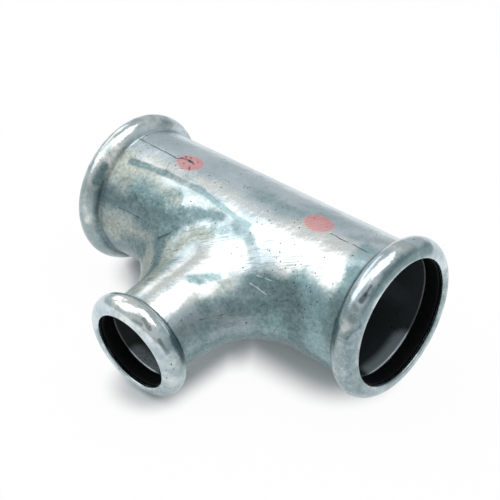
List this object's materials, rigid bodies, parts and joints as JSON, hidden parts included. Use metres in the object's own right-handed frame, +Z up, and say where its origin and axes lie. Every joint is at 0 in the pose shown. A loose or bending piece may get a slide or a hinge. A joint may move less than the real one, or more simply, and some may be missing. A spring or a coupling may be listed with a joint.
{
  "type": "reducing press tee",
  "caption": "Formed steel tee with beaded press sockets: a straight run, a smaller branch, and a seal ring in each bead.",
  "frame": {"origin": "on the table under the middle of the fitting's box, halfway along the run", "axes": "+X along the run, -Y towards the mouth of the branch, +Z up; the branch droops below -Y because its smaller bead also lies on the table"},
  "size_m": [0.1, 0.073, 0.0447],
  "materials": {
    "zinc_plated_steel": "bright zinc plating with blue-grey mottling, fine scratches and two plain red paint dots",
    "black_rubber": "smooth black sealing rubber"
  },
  "bodies": {
    "root": {"tee_body": "zinc_plated_steel", "run_seal_left": "black_rubber", "run_seal_right": "black_rubber", "branch_seal": "black_rubber"}
  },
  "joints": []
}
